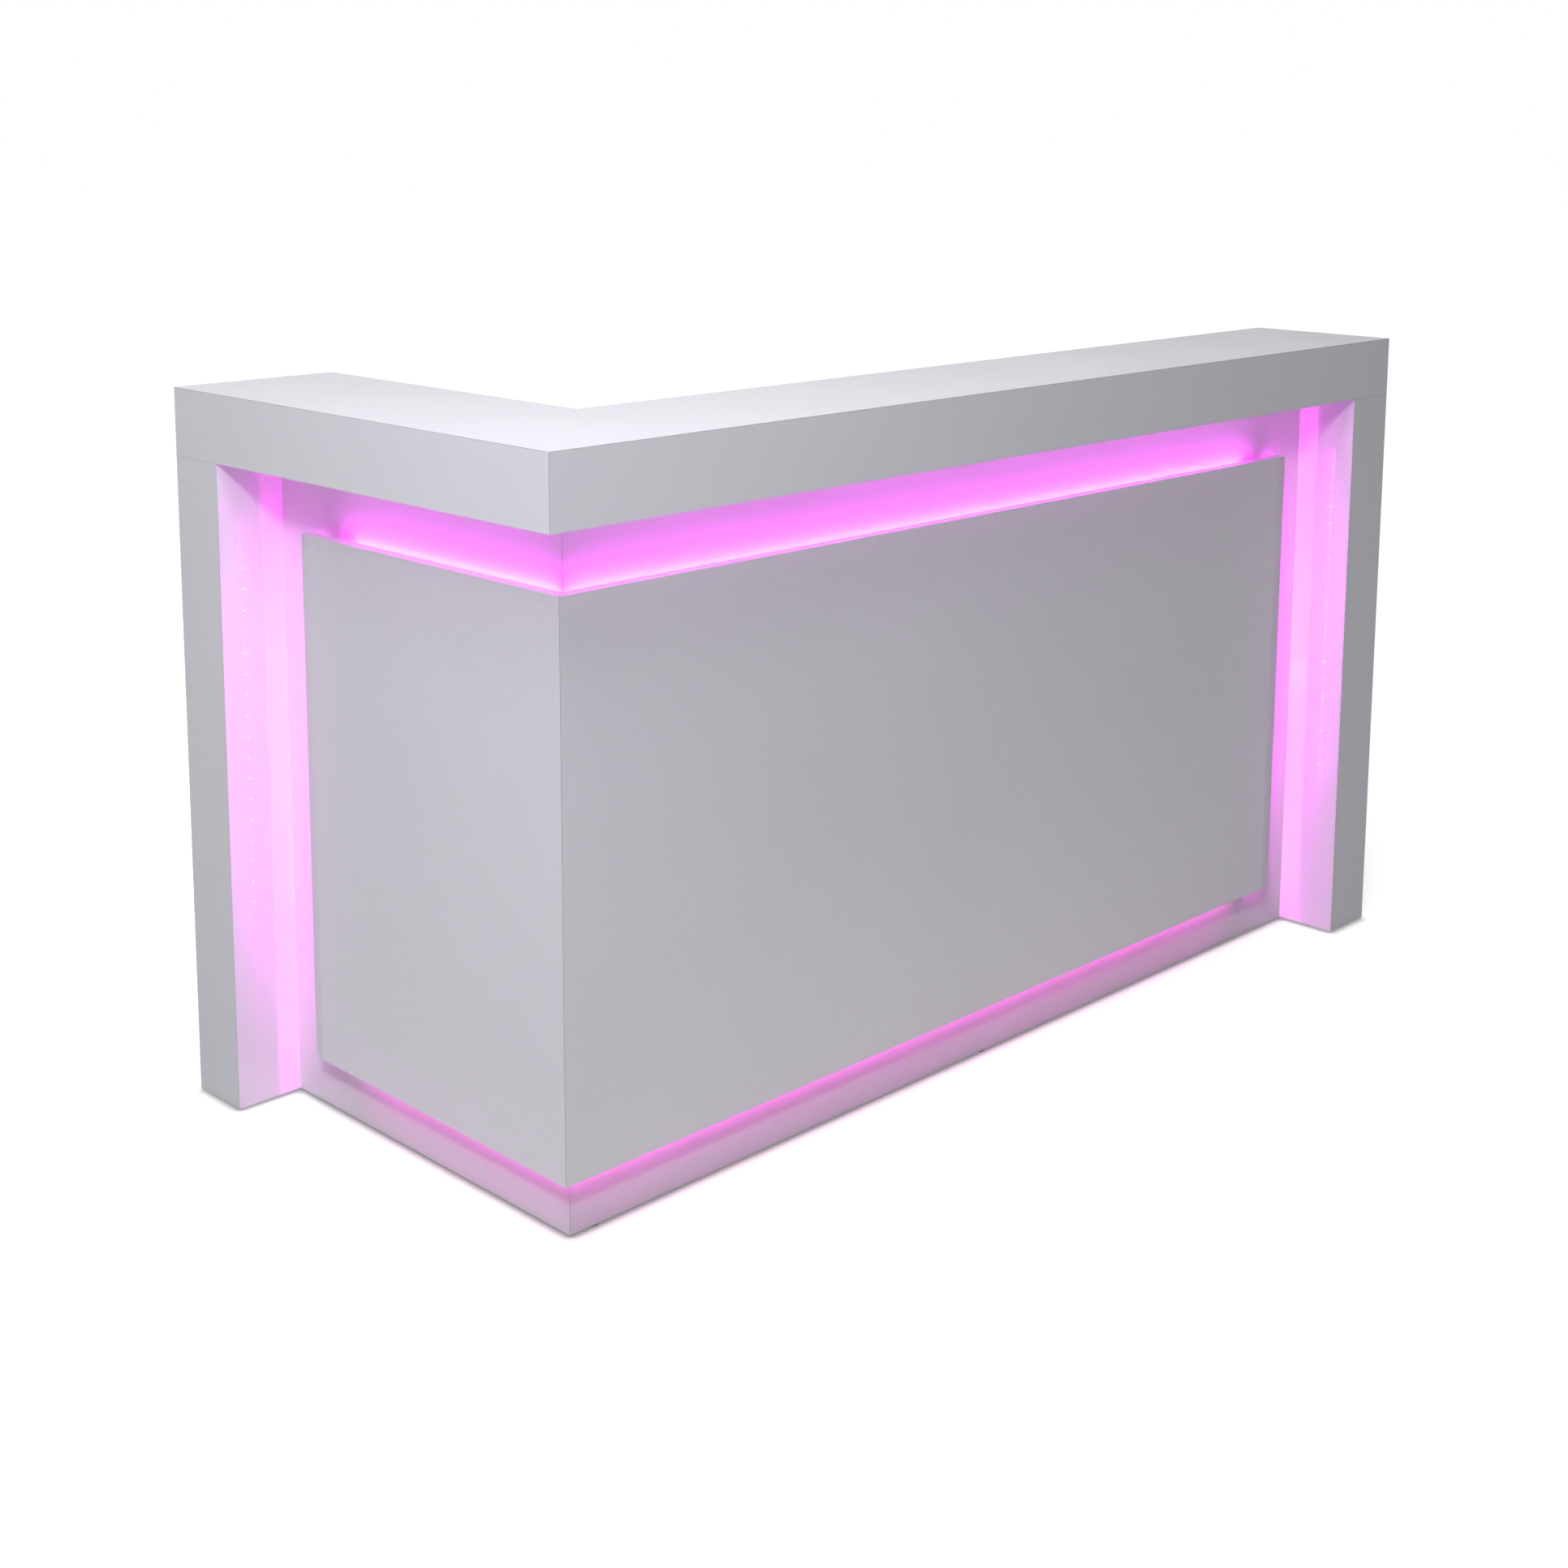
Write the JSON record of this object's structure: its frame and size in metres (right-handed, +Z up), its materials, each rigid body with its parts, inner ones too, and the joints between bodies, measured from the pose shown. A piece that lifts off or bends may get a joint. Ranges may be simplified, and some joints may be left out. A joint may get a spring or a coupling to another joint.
{
  "type": "reception desk",
  "caption": "L-shaped reception desk: thick white counter on end pylons, backlit raised front panels, and a staff worktop with a drawer pedestal.",
  "frame": {"origin": "on the floor, under the middle of the desk's footprint", "axes": "+X along the long wing towards its pylon, +Y from the public front to the staff side, +Z up"},
  "size_m": [1.96, 0.87, 1.1],
  "materials": {
    "white_lacquer": "high-gloss white lacquer on board",
    "inner_board": "matt white melamine on board",
    "raw_batten": "sawn softwood",
    "light_strip": "flexible light strip, lit pink",
    "sheet_steel": "grey powder coat on folded steel",
    "satin_aluminium": "satin anodised",
    "black_plastic": "fine texture",
    "grey_plastic": "satin moulded",
    "white_cable": "smooth sheath"
  },
  "bodies": {
    "desk": {"counter_top": "white_lacquer", "soffit": "white_lacquer", "fascia_long": "white_lacquer", "back_rail_long": "white_lacquer", "wall_long": "white_lacquer", "front_panel_long": "white_lacquer", "fascia_short": "white_lacquer", "back_rail_short": "white_lacquer", "wall_short": "white_lacquer", "front_panel_short": "white_lacquer", "right_gable": "white_lacquer", "right_pylon_front": "white_lacquer", "right_cheek": "white_lacquer", "right_pylon_back": "white_lacquer", "left_gable": "white_lacquer", "left_pylon_front": "white_lacquer", "left_cheek": "white_lacquer", "left_pylon_back": "white_lacquer", "worktop": "inner_board", "worktop_cleat_long": "inner_board", "worktop_cleat_short": "inner_board", "pedestal_left_side": "inner_board", "pedestal_right_side": "inner_board", "pedestal_bottom": "inner_board", "pedestal_back": "inner_board", "spacer_top_long": "raw_batten", "spacer_top_short": "raw_batten", "spacer_bottom_long": "raw_batten", "spacer_bottom_short": "raw_batten", "spacer_right": "raw_batten", "spacer_left": "raw_batten", "led_strip_top": "light_strip", "led_strip_bottom": "light_strip", "led_strip_right": "light_strip", "led_strip_left": "light_strip", "lower_runner_left": "sheet_steel", "lower_runner_right": "sheet_steel", "upper_runner_left": "sheet_steel", "upper_runner_right": "sheet_steel", "cable_grommet": "grey_plastic", "power_supply": "black_plastic", "led_lead": "white_cable", "glide_right_front": "grey_plastic", "glide_right_rear": "grey_plastic", "glide_left_front": "grey_plastic", "glide_left_rear": "grey_plastic", "glide_corner": "grey_plastic", "glide_wall": "grey_plastic", "glide_pedestal_left_rear": "grey_plastic", "glide_pedestal_left_front": "grey_plastic", "glide_pedestal_right_rear": "grey_plastic", "glide_pedestal_right_front": "grey_plastic"},
    "lower_drawer": {"lower_drawer_front": "inner_board", "lower_tray": "sheet_steel", "lower_handle": "satin_aluminium"},
    "upper_drawer": {"upper_drawer_front": "inner_board", "upper_tray": "sheet_steel", "upper_handle": "satin_aluminium"},
    "rocker": {"power_rocker": "grey_plastic"}
  },
  "joints": [
    {"name": "lower_drawer_slide", "type": "slide", "parent": "desk", "child": "lower_drawer", "axis": [0, 1, 0], "range_m": [0, 0.38]},
    {"name": "upper_drawer_slide", "type": "slide", "parent": "desk", "child": "upper_drawer", "axis": [0, 1, 0], "range_m": [0, 0.38]},
    {"name": "rocker_tilt", "type": "hinge", "parent": "desk", "child": "rocker", "pos_m": [0.171, -0.2617, 0.55], "axis": [0, 0, 1], "range_deg": [-16, 0]}
  ]
}
